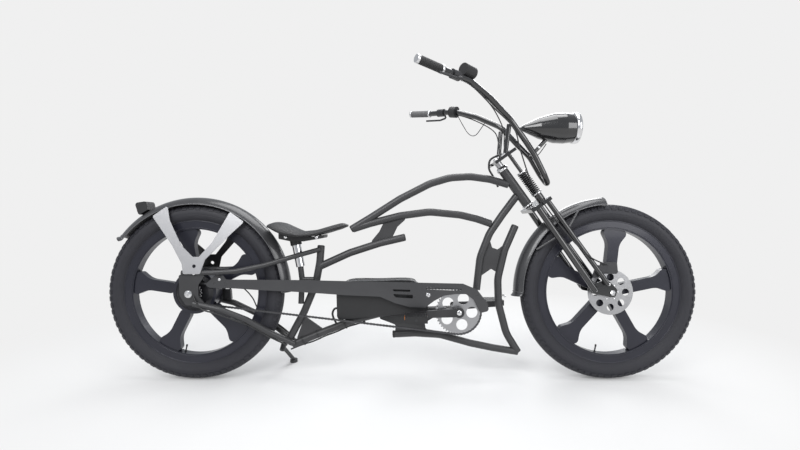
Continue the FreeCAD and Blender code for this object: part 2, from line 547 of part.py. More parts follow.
# ---- Fork and cockpit ----
def make_fork():
    """Steerer, crowns, legs, spring, rockers, axle, fender, bars, lamp and controls."""
    spread = size("LegSpread")
    top_plate = rod("top_plate_core", steer_point(38, 0), steer_point(50, 0), "HeadTube", 0.6)
    steerer = rod("steerer_run", steer_point(-184, 0), steer_point(38, 0), "SteererRadius")
    keep(steerer, "steerer")
    upper = doc.addObject("Part::Box", "upper_crown_block")
    upper.Length = 98
    upper.Width = 136
    upper.Height = 12
    crown_turn = Rotation(Vector(0, 1, 0), math.degrees(math.atan2(-HEAD_FORWARD.z,
                                                                   HEAD_FORWARD.x)))
    upper.Placement = LEAN.multiply(Placement(steer_point(38, -24, -68), crown_turn))
    lower = doc.addObject("Part::Box", "lower_crown_block")
    lower.Length = 92
    lower.Width = 156
    lower.Height = 14
    lower.Placement = LEAN.multiply(Placement(steer_point(-198, -20, -78), crown_turn))
    yoke = rod("spring_yoke", steer_point(40, 57), steer_point(-50, 57), "SpringRadius", 0.35)
    crowns = joined("fork_crowns_run", [upper, top_plate, lower, yoke])
    crown_set = keep(coped("fork_crowns", crowns, [steerer]), "fork_crowns")
    keep(rod("fork_spring", steer_point(-50, 57), steer_point(-154, 57), "SpringRadius"),
         "fork_spring")
    rockers = both_sides(lambda side: make_rocker(side))
    rocker_pair = keep(joined("fork_rockers", rockers), "fork_rockers")
    rear_legs = both_sides(lambda side: coped(
        "rear_leg_%d" % (side + 1),
        rod("rear_leg_run_%d" % (side + 1), steer_point(-192, 11, side * spread),
            Vector(763, side * spread, 360), "RearLegTube", 0.5), [rocker_pair, crown_set]))
    legs = keep(joined("rear_fork_legs", rear_legs), "rear_fork_legs")
    front_legs = both_sides(lambda side: coped(
        "front_leg_%d" % (side + 1),
        rod("front_leg_run_%d" % (side + 1), steer_point(-192, 57, side * spread),
            Vector(813, side * spread, 384), "FrontLegTube", 0.5), [rocker_pair, crown_set]))
    front_pair = keep(joined("front_fork_legs", front_legs), "front_fork_legs")
    keep(coped("spring_seat", rod("spring_seat_run", steer_point(-154.2, 57),
               steer_point(-184, 57), "SpringRadius", 0.8), [crowns]), "spring_seat")
    axle = rod("front_axle", FRONT_AXLE - Y_AXIS * 61, FRONT_AXLE + Y_AXIS * 61, "AxleRadius",
               5 / size("AxleRadius"))
    keep(axle, "front_axle")
    fender = keep(make_fender("front_fender", FRONT_AXLE, 93, 87), "front_fender")
    stay_ends = [((706, 676), steer_point(-330, 57)), ((540, 520), steer_point(-330, 11))]
    braces = []
    for side in (-1, 1):
        for index, ((x, z), end) in enumerate(stay_ends):
            run = rod("front_brace_run_%d_%d" % (side + 1, index), Vector(x, side * 40, z),
                      end + Y_AXIS * side * spread, "AxleRadius", 0.7)
            braces.append(coped("front_brace_%d_%d" % (side + 1, index), run,
                                [fender, legs, front_pair]))
    keep(joined("front_fender_braces", braces), "front_fender_braces")
    caliper = plate("front_caliper_body", outline([(796, 424), (800, 470), (858, 470),
                    (862, 424)], 8), "WebThick", 3.6, -31)
    arm = plate("front_caliper_arm", outline([(755, 405), (775, 460), (815, 455), (800, 420)], 6),
                "WebThick", 2.2, -47)
    link = plate("front_caliper_link", outline([(790, 430), (790, 452), (825, 455), (825, 430)]),
                 "WebThick", 1.2, -42)
    groove = plate("front_disc_room", [circle_at(0, 0, size("RotorRadius") + 3)], "RotorThick",
                   3, -31, Placement(FRONT_AXLE, Rotation()))
    keep(coped("front_caliper", joined("front_caliper_run", [caliper, arm, link]),
               [groove, legs, front_pair]), "front_caliper")
    make_cockpit(upper)


def make_rocker(side):
    """One rocker link: leg pivots at its rear and front, the axle at its low end."""
    side_line = side * 47
    link = plate("rocker_plate_%d" % (side + 1), outline([(745, 350), (755, 382), (815, 404),
                 (856, 362), (848, 332), (825, 334)], 12), "WebThick", 1.0, side_line)
    pins = [rod("rocker_pin_%d_%d" % (side + 1, index), Vector(x, side_line, z),
                Vector(x, side * 70, z), "AxleRadius", 0.8)
            for index, (x, z) in enumerate(((763, 363), (813, 386)))]
    bore = rod("rocker_bore_%d" % (side + 1), FRONT_AXLE + Y_AXIS * side * 40,
               FRONT_AXLE + Y_AXIS * side * 60, "AxleRadius", 5 / size("AxleRadius"))
    return coped("rocker_%d" % (side + 1),
                 joined("rocker_run_%d" % (side + 1), [link] + pins), [bore])


def make_cockpit(upper_crown):
    """Risers, one-piece bar with its dropped loop, grips, levers, controls and the lamp."""
    half = [(144, 300, 1141), (249, 215, 1130), (335, 146, 1089), (426, 75, 1028),
            (490, 55, 950), (535, 32, 895), (575, 24, 820)]
    points = [(x, -y, z) for x, y, z in half] + [(604, 0, 768)] + half[::-1]
    bar = keep(tube("handlebar", points, "BarTube", 90), "handlebar")
    risers = both_sides(lambda side: coped(
        "riser_%d" % (side + 1),
        rod("riser_run_%d" % (side + 1), Vector(424, side * 73, 1008),
            steer_point(46, 26, side * 58), "RiserTube", 0.5), [bar, upper_crown]))
    keep(joined("risers", risers), "risers")
    grips = both_sides(lambda side: coped("grip_%d" % (side + 1), rod(
        "grip_run_%d" % (side + 1), Vector(144, side * 300, 1141),
        Vector(GRIP_END.x, side * GRIP_END.y, GRIP_END.z), "GripTube", 0.5), [bar]))
    grip_pair = keep(joined("grips", grips), "grips")
    clamps = both_sides(lambda side: rod(
        "lever_clamp_%d" % (side + 1), Vector(178, side * 272.5, 1137.5),
        Vector(205, side * 250.5, 1134.5), "GripTube", 0.55))
    levers = both_sides(lambda side: tube(
        "lever_blade_%d" % (side + 1), [(190, side * 262, 1136), (222, side * 275, 1118),
        (190, side * 305, 1112), (128, side * 345, 1118)], "AxleRadius", 14))
    for index, lever in enumerate(levers):
        lever.Sections[0].setExpression("Radius", "Sizes.AxleRadius * 0.7")
    lever_sets = [coped("lever_%d" % index, joined("lever_run_%d" % index, [clamp, lever]),
                        [bar, grip_pair]) for index, (clamp, lever) in enumerate(zip(clamps, levers))]
    keep(joined("brake_levers", lever_sets), "brake_levers")
    pod = rod("display_pod", Vector(222, -240, 1165), Vector(262, -204, 1160), "GripTube", 0.7)
    post = rod("display_post", Vector(242, -222, 1160), Vector(241, -221, 1130), "AxleRadius")
    shifter = rod("shifter_pod", Vector(232, 229, 1132), Vector(256, 209, 1126), "GripTube", 0.8)
    keep(coped("bar_controls", joined("bar_controls_run", [pod, post, shifter]), [bar]),
         "bar_controls")
    radius = size("LampRadius")
    section = [(481, 0), (500, 14), (560, 42), (620, radius - 2), (660, radius), (700, radius - 5),
               (716, radius - 12), (716, 0)]
    lamp = turned("headlight", outline(section), Placement(Vector(0, 0, 1008), Rotation()),
                  role="XY_Plane")
    keep(lamp, "headlight")
    tie = rod("lamp_tie", Vector(531, -34, 900), Vector(531, 34, 900), "AxleRadius")
    stalk = rod("lamp_stalk", Vector(533, 0, 900), Vector(590, 0, 962), "RiserTube", 0.45)
    keep(coped("headlight_bracket", joined("headlight_bracket_run", [tie, stalk]), [bar, lamp]),
         "headlight_bracket")


def make_rear_caliper(stays):
    """The rear caliper round its disc on the left, on an arm from the lower stay."""
    block = plate("rear_caliper_body", outline([(-735, 302), (-738, 350), (-705, 350),
                  (-702, 306)], 6), "WebThick", 3, 58)
    arm = rod("rear_caliper_arm", (-716, 60, 315), (-712, 79, 292), "AxleRadius")
    groove = plate("rear_disc_room", [circle_at(0, 0, size("RotorRadius") + 3)], "RotorThick", 3,
                   56, Placement(REAR_AXLE, Rotation()))
    keep(coped("rear_caliper", joined("rear_caliper_run", [block, arm]), [groove, stays]),
         "rear_caliper")


outer_head, lower_tube, seat_mast, middle_tube, tube_half = make_frame()
dropout_pair, upper_stay_pair, chain_stay_pair = make_rear(lower_tube, seat_mast)
make_rear_caliper(chain_stay_pair)
make_wheels()
make_drive()
battery_case = make_seat(seat_mast, lower_tube, middle_tube)
make_guard(upper_stay_pair, battery_case)
stand_pivot, stand_hinge, stand_fold = make_stand(chain_stay_pair)
make_fork()
doc.recompute()

# ---- Checks and files ----
faults = [item.Name for item in doc.Objects if {"Invalid", "Error"} & set(item.State)]
if faults:
    raise RuntimeError("failed objects: %s" % faults)
os.makedirs("parts", exist_ok=True)
for part in subparts:
    shape = part.Shape
    if shape.isNull() or not shape.isValid() or not shape.Solids:
        raise RuntimeError("bad shape: %s" % part.Label)
for part in subparts:
    part.Shape.exportStep("parts/%s.step" % part.Label)
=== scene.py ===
import json
import math
import bpy
import numpy as np
from mathutils import Matrix, Vector


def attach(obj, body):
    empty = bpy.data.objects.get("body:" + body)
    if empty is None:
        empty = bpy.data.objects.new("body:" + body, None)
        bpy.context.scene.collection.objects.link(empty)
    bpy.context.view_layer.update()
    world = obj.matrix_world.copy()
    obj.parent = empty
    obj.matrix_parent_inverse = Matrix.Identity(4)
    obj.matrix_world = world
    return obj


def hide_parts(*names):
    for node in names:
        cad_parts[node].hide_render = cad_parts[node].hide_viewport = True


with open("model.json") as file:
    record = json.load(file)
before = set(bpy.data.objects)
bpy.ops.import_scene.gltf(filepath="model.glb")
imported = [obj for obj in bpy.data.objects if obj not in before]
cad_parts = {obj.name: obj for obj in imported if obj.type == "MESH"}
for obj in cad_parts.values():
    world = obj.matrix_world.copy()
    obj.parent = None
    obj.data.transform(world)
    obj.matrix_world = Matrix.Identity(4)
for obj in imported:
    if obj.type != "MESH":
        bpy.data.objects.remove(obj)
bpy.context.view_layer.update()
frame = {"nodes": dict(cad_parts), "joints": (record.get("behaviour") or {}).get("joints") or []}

# ---- The machine's own upright frame ----
# The bicycle leans on its side stand. Its shapes are worked out upright, in metres, with x
# forward, y to its left and z up from the ground, and LEAN lays them over onto the stand.
joint = {item["name"]: item for item in frame["joints"]}
rear_pos = Vector(joint["rear_wheel_spin"]["pos_m"])
left = Vector(joint["rear_wheel_spin"]["axis"])
REAR = Vector((-0.817, 0, 0.350))
FRONT = Vector((0.836, 0, 0.350))
CRANK = Vector((0.2295, 0, 0.277))
turn = Matrix.Rotation(math.atan2(left.z, left.y), 4, "X")
LEAN = Matrix.Translation(rear_pos - turn @ REAR) @ turn


def add_piece(name, verts, faces, body, material, smooth=True):
    """A mesh from arrays in the upright frame, leaned over and riding on a body."""
    verts = np.asarray(verts, dtype=float).reshape(-1, 3)
    lean = np.array(LEAN)
    verts = verts @ lean[:3, :3].T + lean[:3, 3]
    mesh = bpy.data.meshes.new(name)
    mesh.from_pydata(verts.tolist(), [], faces if isinstance(faces, list) else faces.tolist())
    mesh.update()
    mesh.polygons.foreach_set("use_smooth", [smooth] * len(mesh.polygons))
    obj = bpy.data.objects.new(name, mesh)
    bpy.context.scene.collection.objects.link(obj)
    obj.data.materials.append(material)
    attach(obj, body)
    return obj


def grid_faces(rows, columns, wrap_rows=False, wrap_columns=True):
    """Quads of a (u, v) grid; a wrapped direction joins its last line to its first."""
    u = np.arange(rows if wrap_rows else rows - 1)
    v = np.arange(columns if wrap_columns else columns - 1)
    a, b = np.meshgrid(u, v, indexing="ij")
    a2 = (a + 1) % rows
    b2 = (b + 1) % columns
    quads = [a * columns + b, a2 * columns + b, a2 * columns + b2, a * columns + b2]
    return np.stack(quads, axis=-1).reshape(-1, 4)


def axes_of(direction):
    """Two unit vectors square to a direction."""
    d = np.asarray(direction, dtype=float)
    d = d / np.linalg.norm(d)
    guide = np.array([0, 0, 1.0]) if abs(d[2]) < 0.9 else np.array([1.0, 0, 0])
    u = np.cross(guide, d)
    u /= np.linalg.norm(u)
    return d, u, np.cross(d, u)


def lathe(centre, direction, profile, count=48):
    """A profile of (along, radius) points turned about an axis through centre.

    Points lie at centre + along * axis + radius * (cos t * u + sin t * w). A closed profile,
    whose ends are on the axis, gives a closed solid.
    """
    d, u, w = axes_of(direction)
    profile = np.asarray(profile, dtype=float)
    t = np.linspace(0, 2 * math.pi, count, endpoint=False)
    ring = np.cos(t)[:, None] * u + np.sin(t)[:, None] * w
    verts = (np.asarray(centre) + profile[:, :1, None].reshape(-1, 1, 1) * d
             + profile[:, 1].reshape(-1, 1, 1) * ring[None])
    return verts.reshape(-1, 3), grid_faces(len(profile), count)


def smooth_path(points, count):
    """Evenly run Catmull-Rom points through given ones."""
    p = np.asarray(points, dtype=float)
    p = np.vstack([2 * p[0] - p[1], p, 2 * p[-1] - p[-2]])
    t = np.linspace(0, len(points) - 1, count)
    i = np.minimum(t.astype(int), len(points) - 2)
    f = (t - i)[:, None]
    a, b, c, d = p[i], p[i + 1], p[i + 2], p[i + 3]
    return 0.5 * (2 * b + (c - a) * f + (2 * a - 5 * b + 4 * c - d) * f ** 2
                  + (3 * b - a - 3 * c + d) * f ** 3)


def pipe(path, radius, sides=10):
    """A round tube along a path, with both ends closed to a point on the path."""
    path = np.asarray(path, dtype=float)
    along = np.gradient(path, axis=0)
    along /= np.linalg.norm(along, axis=1)[:, None]
    guide = np.array([0.03, 1.0, 0.05])
    u = np.cross(along, guide)
    u /= np.linalg.norm(u, axis=1)[:, None]
    w = np.cross(along, u)
    t = np.linspace(0, 2 * math.pi, sides, endpoint=False)
    radii = np.broadcast_to(radius, (len(path),))[:, None, None]
    rings = path[:, None] + radii * (np.cos(t)[None, :, None] * u[:, None]
                                     + np.sin(t)[None, :, None] * w[:, None])
    caps = np.repeat(path[[0, -1]][:, None], sides, axis=1)
    rings = np.concatenate([caps[:1], rings, caps[1:]])
    return rings.reshape(-1, 3), grid_faces(len(rings), sides)


def gather(parts):
    """Several (verts, faces) pairs as one."""
    verts = []
    faces = []
    start = 0
    for v, f in parts:
        verts.append(v)
        faces += (np.asarray(f) + start).tolist()
        start += len(v)
    return np.vstack(verts), faces


class Socket:
    """A shader value; arithmetic on it adds the Math nodes that work it out."""

    def __init__(self, paint, link):
        self.paint = paint
        self.link = link

    def _op(self, kind, *values):
        return self.paint.node("ShaderNodeMath", {"operation": kind}, *values)

    def __add__(self, other):
        return self._op("ADD", self, other)

    __radd__ = __add__

    def __sub__(self, other):
        return self._op("SUBTRACT", self, other)

    def __mul__(self, other):
        return self._op("MULTIPLY", self, other)

    __rmul__ = __mul__

    def __lt__(self, other):
        return self._op("LESS_THAN", self, other)

    def __gt__(self, other):
        return self._op("GREATER_THAN", self, other)

    def sine(self):
        return self._op("SINE", self)

    def root(self):
        return self._op("SQRT", self)

    def angle(self, other):
        return self._op("ARCTAN2", self, other)

    def clamp(self, low, high):
        return self._op("MINIMUM", self._op("MAXIMUM", self, low), high)


class Paint:
    """One material: its finish starts from a colour, a roughness and a metal share."""

    def __init__(self, name, colour, rough, metal=0.0, coat=0.0):
        self.mat = bpy.data.materials.new(name)
        self.mat.use_nodes = True
        self.tree = self.mat.node_tree
        self.shader = self.tree.nodes["Principled BSDF"]
        self.shader.inputs["Base Color"].default_value = (*colour, 1)
        self.shader.inputs["Roughness"].default_value = rough
        self.shader.inputs["Metallic"].default_value = metal
        self.shader.inputs["Coat Weight"].default_value = coat
        self.shader.inputs["Coat Roughness"].default_value = 0.08

    def node(self, kind, settings, *values, out=0):
        """Any node: settings first, then its sockets in order; None leaves one alone."""
        node = self.tree.nodes.new(kind)
        for key, value in settings.items():
            setattr(node, key, value)
        for place, value in zip(node.inputs, values):
            if isinstance(value, Socket):
                self.tree.links.new(value.link, place)
            elif value is not None:
                place.default_value = value
        return Socket(self, node.outputs[out])

    def place(self):
        """The piece's own x, y and z."""
        coords = self.node("ShaderNodeTexCoord", {}, out=3)
        split = self.tree.nodes.new("ShaderNodeSeparateXYZ")
        self.tree.links.new(coords.link, split.inputs[0])
        return [Socket(self, output) for output in split.outputs]

    def noise(self, scale, detail=3.0, rough=0.55):
        coords = self.node("ShaderNodeTexCoord", {}, out=3)
        return self.node("ShaderNodeTexNoise", {}, coords, None, scale, detail, rough)

    def cells(self, scale):
        coords = self.node("ShaderNodeTexCoord", {}, out=3)
        return self.node("ShaderNodeTexVoronoi", {"feature": "DISTANCE_TO_EDGE"}, coords,
                         None, scale)

    def blend(self, factor, low, high):
        """Base colour from low to high as the factor goes from 0 to 1."""
        node = self.tree.nodes.new("ShaderNodeMix")
        node.data_type = "RGBA"
        self.tree.links.new(factor.link, node.inputs[0])
        for place, colour in ((node.inputs[6], low), (node.inputs[7], high)):
            if isinstance(colour, Socket):
                self.tree.links.new(colour.link, place)
            else:
                place.default_value = (*colour, 1)
        self.tree.links.new(node.outputs[2], self.shader.inputs["Base Color"])

    def rough(self, value):
        self.tree.links.new(value.link, self.shader.inputs["Roughness"])

    def bump(self, height, strength, distance=0.001):
        bump = self.tree.nodes.new("ShaderNodeBump")
        bump.inputs["Strength"].default_value = strength
        bump.inputs["Distance"].default_value = distance
        self.tree.links.new(height.link, bump.inputs["Height"])
        self.tree.links.new(bump.outputs[0], self.shader.inputs["Normal"])


def wear(name, colour, rough, metal=0.0, coat=0.0, grain=900, depth=0.08, spread=0.25):
    """A painted, moulded or metal finish with fine grain and uneven colour and gloss."""
    paint = Paint(name, colour, rough, metal, coat)
    cloud = paint.noise(14)
    paint.blend(cloud, [c * (1 - spread) for c in colour], [c * (1 + spread) for c in colour])
    paint.rough(cloud * 0.16 + (rough - 0.08))
    paint.bump(paint.noise(grain, 2), depth, 0.0004)
    return paint


def finish_node(node, paint):
    """Gives a carried-over node its finish."""
    obj = frame["nodes"][node]
    obj.data.materials.clear()
    obj.data.materials.append(paint.mat)


# ---- Tyres ----
# Wide balloon tyres of blue-black rubber, moulded with ribs round the crown and a row of
# blocks on each shoulder. They are the lowest thing on the machine and carry its weight.
TYRE = 0.350
TYRE_ROUND = 0.036


def tyre_blocks(axle, side, count=78):
    """Shoulder blocks: short boxes set round the tyre, each following its section's curve."""
    k = np.arange(count)[:, None, None, None]
    turn_by = np.linspace(-0.026, 0.026, 3)[None, :, None, None]
    lean_by = np.radians(np.linspace(40, 66, 4))[None, None, :, None]
    high = np.array([-0.0015, 0.0022])[None, None, None, :]
    stagger = np.where(k % 2 == 0, 0.0, 0.055)
    spin = 2 * math.pi * k / count + turn_by
    section = TYRE_ROUND + high * (1 - 4.0 * np.abs(turn_by) ** 2)
    radius = TYRE - TYRE_ROUND + section * np.cos(lean_by + stagger)
    across = side * section * np.sin(lean_by + stagger)
    full = np.broadcast_arrays(axle[0] + radius * np.cos(spin), across,
                               axle[2] + radius * np.sin(spin))
    verts = np.stack(full, axis=-1).reshape(-1, 3)

    def at(i, j, h):
        """A block corner's place in the list: i round the tyre, j over its section, h high."""
        return (i * 4 + j) * 2 + h

    box = []
    for i in range(2):
        for j in range(3):
            box.append([at(i, j, 1), at(i + 1, j, 1), at(i + 1, j + 1, 1), at(i, j + 1, 1)])
            box.append([at(i, j, 0), at(i, j + 1, 0), at(i + 1, j + 1, 0), at(i + 1, j, 0)])
        box.append([at(i, 0, 0), at(i + 1, 0, 0), at(i + 1, 0, 1), at(i, 0, 1)])
        box.append([at(i, 3, 0), at(i, 3, 1), at(i + 1, 3, 1), at(i + 1, 3, 0)])
    for j in range(3):
        box.append([at(0, j, 0), at(0, j, 1), at(0, j + 1, 1), at(0, j + 1, 0)])
        box.append([at(2, j, 0), at(2, j + 1, 0), at(2, j + 1, 1), at(2, j, 1)])
    box = np.array(box)
    if side > 0:
        box = box[:, ::-1]
    return verts, (box[None] + np.arange(count)[:, None, None] * 24).reshape(-1, 4)


def rubber_for(name, pos):
    """Blue-black rubber whose crown ribs and side rings follow the wheel's own axle."""
    paint = Paint(name, (0.0130, 0.0130, 0.0185), 0.62)
    x, y, z = paint.place()
    across = (y - pos.y) * left.y + (z - pos.z) * left.z
    up = (z - pos.z) * left.y - (y - pos.y) * left.z
    radius = ((x - pos.x) * (x - pos.x) + up * up).root()
    spin = up.angle(x - pos.x)
    ribs = (across * 700).sine() * (radius > 0.338)
    lugs = (spin * 156 + across * 260).sine() * (radius > 0.334)
    rings = (radius * 1900).sine() * (radius < 0.312) * 0.35
    dust = paint.noise(26)
    paint.blend(dust, (0.0105, 0.0105, 0.0150), (0.0200, 0.0200, 0.0270))
    paint.rough(dust * 0.2 + 0.5)
    paint.bump((ribs + lugs) * 0.5 + rings + paint.noise(700) * 0.2, 0.55, 0.0016)
    return paint


for wheel_name, axle, pos in (("front", FRONT, Vector(joint["front_wheel_spin"]["pos_m"])),
                              ("rear", REAR, rear_pos)):
    rubber = rubber_for(wheel_name + "_rubber", pos)
    finish_node(wheel_name + "_tyre", rubber)
    verts, faces = gather([tyre_blocks(axle, -1), tyre_blocks(axle, 1)])
    add_piece(wheel_name + "_tyre_blocks", verts, faces, wheel_name + "_wheel",
              rubber.mat, smooth=False)

# ---- Cast wheels ----
# Five-spoke wheels cast in light alloy and painted satin blue-black, with machined edges, a
# valve at the rim, and a motor drum in the middle of the rear one.
cast = wear("wheel_cast_paint", (0.0170, 0.0175, 0.0270), 0.34, 0.35, 0.25, 500, 0.06, 0.2)
for node in ("front_wheel", "rear_wheel"):
    finish_node(node, cast)
drum = wear("motor_drum_paint", (0.0120, 0.0120, 0.0150), 0.42, 0.3, 0.1)
finish_node("motor_hub", drum)
for wheel_name, axle in (("front", FRONT), ("rear", REAR)):
    lips = []
    for side in (-1, 1):
        for radius, width in ((0.2835, 0.0026), (0.2560, 0.0018)):
            centre = np.array([axle[0], side * 0.0196, axle[2]])
            t = np.linspace(0, 2 * math.pi, 13)
            round_lip = np.stack([0.0022 * np.cos(t), radius + width * np.sin(t)], axis=1)
            lips.append(lathe(centre, (0, 1, 0), round_lip, 120))
    verts, faces = gather(lips)
    add_piece(wheel_name + "_rim_lips", verts, faces, wheel_name + "_wheel",
              cast.mat)
    seat = np.array([axle[0] + 0.2535 * math.cos(math.radians(258.5)), 0,
                     axle[2] + 0.2535 * math.sin(math.radians(258.5))])
    inward = np.array([axle[0], 0, axle[2]]) - seat
    stem = [(-0.002, 0), (-0.002, 0.0045), (0.006, 0.0042), (0.009, 0.0028), (0.024, 0.0026),
            (0.025, 0.0036), (0.033, 0.0036), (0.034, 0)]
    verts, faces = lathe(seat, inward, stem, 16)
    add_piece(wheel_name + "_valve", verts, faces, wheel_name + "_wheel", drum.mat)

# ---- Bright metal: discs, axles, sprockets and chain ----
# Brake discs and sprockets are stamped steel with a brushed surface; axle nuts are chromed.
steel = Paint("brushed_steel", (0.42, 0.42, 0.43), 0.34, 1.0)
sx, sy, sz = steel.place()
steel.rough(steel.noise(60) * 0.2 + 0.24)
steel.bump((sx * 2600).sine() * 0.2 + steel.noise(1200), 0.12, 0.0003)
chrome = Paint("chrome_plate", (0.72, 0.72, 0.73), 0.10, 1.0)
chrome.rough(chrome.noise(40) * 0.12 + 0.05)
for node in ("front_rotor", "rear_rotor", "rear_cog", "chainring", "steerer"):
    finish_node(node, steel)
for node in ("front_axle", "rear_axle"):
    finish_node(node, chrome)


def nut(centre, direction, across, height):
    """A chamfered hexagon nut with a domed cap: rings of six points closed at each end."""
    profile = [(0, 0), (0, across), (height * 0.8, across), (height, across * 0.8),
               (height * 1.25, across * 0.55), (height * 1.5, 0)]
    return lathe(centre, direction, profile, 6)


def dome(centre, direction, radius, height):
    """A round bolt head: a quarter-round profile turned about its axis, closed below."""
    t = np.linspace(0, math.pi / 2, 6)
    profile = np.vstack([[(0, 0)], np.stack([height * np.sin(t), radius * np.cos(t)], axis=1)])
    return lathe(centre, direction, profile, 24)


def fixings(name, body, specs, shape=dome):
    """Chromed bolt heads on both sides of a piece, from (x, outward y, z, radius, height)."""
    parts = []
    for x, y, z, radius, height in specs:
        side = 1 if y > 0 else -1
        parts.append(shape((x, y, z), (0, side, 0), radius, height))
    verts, faces = gather(parts)
    add_piece(name, verts, faces, body, chrome.mat, smooth=shape is dome)


fixings("rear_axle_nuts", "frame", [(REAR[0], s * 0.0812, REAR[2], 0.0135, 0.007)
                                    for s in (-1, 1)], nut)
fixings("front_axle_nuts", "fork", [(FRONT[0], s * 0.0502, FRONT[2], 0.011, 0.007)
                                    for s in (-1, 1)], nut)
fixings("rotor_bolts", "front_wheel",
        [(FRONT[0] + 0.030 * math.cos(a), -0.0322, FRONT[2] + 0.030 * math.sin(a), 0.004, 0.002)
         for a in np.arange(6) * math.pi / 3])

# The roller chain: inner and outer links in turn round both sprockets, on the same belt line.
RING = 0.0889
COG = 0.0385
PITCH = 0.0127
PLATE_END = 0.0040
chain_line = -0.052


def belt(count):
    """Points evenly round two circles and their outer tangents, and the whole length."""
    span = np.array([CRANK[0] - REAR[0], CRANK[2] - REAR[2]])
    length = np.linalg.norm(span)
    base = math.atan2(span[1], span[0])
    spread = math.acos((COG - RING) / length)
    straight = length * math.sin(spread)
    arcs = (RING * 2 * spread, COG * 2 * (math.pi - spread))
    total = 2 * straight + sum(arcs)
    s = np.arange(count) * total / count
    one = np.array([math.cos(base + spread), math.sin(base + spread)])
    two = np.array([math.cos(base - spread), math.sin(base - spread)])
    a = np.array([REAR[0], REAR[2]])
    b = np.array([CRANK[0], CRANK[2]])
    legs = [(0, a + one * COG, b + one * RING), (straight + arcs[0], b + two * RING,
                                                 a + two * COG)]
    pts = np.zeros((count, 2))
    for start, p, q in legs:
        inside = (s >= start) & (s <= start + straight)
        f = ((s - start) / straight)[:, None]
        pts = np.where(inside[:, None], p + (q - p) * f, pts)
    on_ring = (s > straight) & (s < straight + arcs[0])
    turn_ring = base + spread - (s - straight) / RING
    pts = np.where(on_ring[:, None], b + RING * np.stack([np.cos(turn_ring),
                                                          np.sin(turn_ring)], 1), pts)
    start = 2 * straight + arcs[0]
    on_cog = s > start
    turn_cog = base - spread - (s - start) / COG
    pts = np.where(on_cog[:, None], a + COG * np.stack([np.cos(turn_cog),
                                                        np.sin(turn_cog)], 1), pts)
    return pts, total


LINKS = 2 * round(belt(10)[1] / PITCH / 2)
pins = belt(LINKS)[0]
ahead = np.roll(pins, -1, axis=0) - pins
reach = np.linalg.norm(ahead, axis=1)[:, None]
ahead /= reach
square = np.stack([-ahead[:, 1], ahead[:, 0]], axis=1)
t = np.linspace(math.pi / 2, 3 * math.pi / 2, 6)
shape_x = np.concatenate([PLATE_END * np.cos(t), PITCH - PLATE_END * np.cos(t)])
shape_z = np.concatenate([PLATE_END * np.sin(t), -PLATE_END * np.sin(t)])
shape_x = np.concatenate([shape_x[:6], [PITCH / 2], shape_x[6:], [PITCH / 2]])
shape_z = np.concatenate([shape_z[:6], [-0.0027], shape_z[6:], [0.0027]])
flat = (pins[:, None] + shape_x[None, :, None] * ahead[:, None]
        + shape_z[None, :, None] * square[:, None])
chain_parts = []
sides = len(shape_x)
outer = (np.arange(LINKS) % 2 == 0)
for face_side in (-1, 1):
    inner_y = np.where(outer, 0.0030, 0.0020)
    levels = chain_line + face_side * np.stack([inner_y, inner_y + 0.0009], axis=1)
    verts = np.stack([np.broadcast_to(flat[:, None, :, 0], (LINKS, 2, sides)),
                      np.broadcast_to(levels[:, :, None], (LINKS, 2, sides)),
                      np.broadcast_to(flat[:, None, :, 1], (LINKS, 2, sides))], axis=-1)
    faces = []
    ring_now = np.arange(sides)
    ring_next = (ring_now + 1) % sides
    wall = np.stack([ring_now, ring_next, ring_next + sides, ring_now + sides], axis=1)
    for link in range(LINKS):
        offset = link * 2 * sides
        body = wall if face_side < 0 else wall[:, ::-1]
        faces += (body + offset).tolist()
        caps = [ring_now[::-1] + offset, ring_now + sides + offset]
        faces += [(cap if face_side < 0 else cap[::-1]).tolist() for cap in caps]
    chain_parts.append((verts.reshape(-1, 3), faces))
verts = np.vstack([part[0] for part in chain_parts])
faces = chain_parts[0][1] + [[i + len(chain_parts[0][0]) for i in f] for f in chain_parts[1][1]]
rollers = [lathe((p[0], chain_line - 0.0042, p[1]), (0, 1, 0),
                 [(0, 0), (0, 0.0018), (0.0022, 0.0018), (0.0022, 0.0037), (0.0062, 0.0037),
                  (0.0062, 0.0018), (0.0084, 0.0018), (0.0084, 0)], 8) for p in pins]
roller_verts, roller_faces = gather(rollers)
faces += [[i + len(verts) for i in f] for f in roller_faces]
chain_steel = wear("chain_steel", (0.10, 0.10, 0.105), 0.38, 0.9, 0, 400, 0.1, 0.4)
chain_piece = add_piece("chain_links", np.vstack([verts, roller_verts]), faces, "frame",
                        chain_steel.mat, smooth=False)
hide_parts("chain")


def teeth(centre, radius, count, inner, half_width):
    """A toothed ring: its edge radius follows a rounded wave, one wave for each tooth."""
    samples = count * 8
    t = np.linspace(0, 2 * math.pi, samples, endpoint=False)
    wave = np.cos(count * t)
    edge = radius - 0.0012 + 0.0030 * np.tanh(2.2 * wave)
    rows = [(inner, -half_width), (edge - 0.001, -half_width), (edge, -half_width * 0.4),
            (edge, half_width * 0.4), (edge - 0.001, half_width), (inner, half_width)]
    verts = [np.stack([centre[0] + r * np.cos(t), np.full(samples, centre[1] + y),
                       centre[2] + r * np.sin(t)], axis=1) for r, y in rows]
    return np.vstack(verts), grid_faces(len(rows), samples, wrap_rows=True)[:, ::-1]


verts, faces = teeth((CRANK[0], chain_line, CRANK[2]), RING, 44, 0.0800, 0.0013)
add_piece("chainring_teeth", verts, faces, "crank", steel.mat)
verts, faces = teeth((REAR[0], chain_line, REAR[2]), COG, 19, 0.0300, 0.0013)
add_piece("cog_teeth", verts, faces, "rear_wheel", steel.mat)

